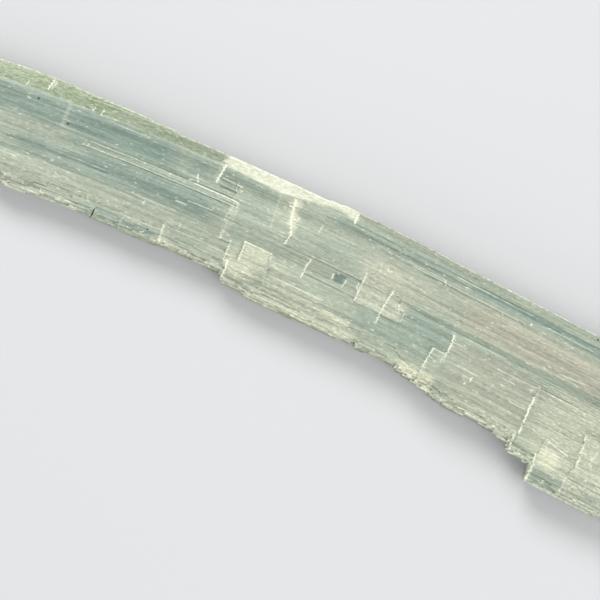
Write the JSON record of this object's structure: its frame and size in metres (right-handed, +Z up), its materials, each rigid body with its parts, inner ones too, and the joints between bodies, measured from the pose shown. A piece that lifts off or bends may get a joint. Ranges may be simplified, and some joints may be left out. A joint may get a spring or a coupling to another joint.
{
  "type": "selenite crystal blade",
  "caption": "Long, gently bent blade of milky selenite with stepped cleavage edges and splintery broken ends, lying on its broad face.",
  "frame": {"origin": "centre of the blade's plan, on the plane of its underside", "axes": "+X along the blade towards its wide end, +Y towards its smooth back edge, +Z up out of its broad top face"},
  "size_m": [0.2323, 0.0488, 0.0124],
  "materials": {
    "selenite": "satin"
  },
  "bodies": {
    "root": {"selenite_blade": "selenite"}
  },
  "joints": []
}
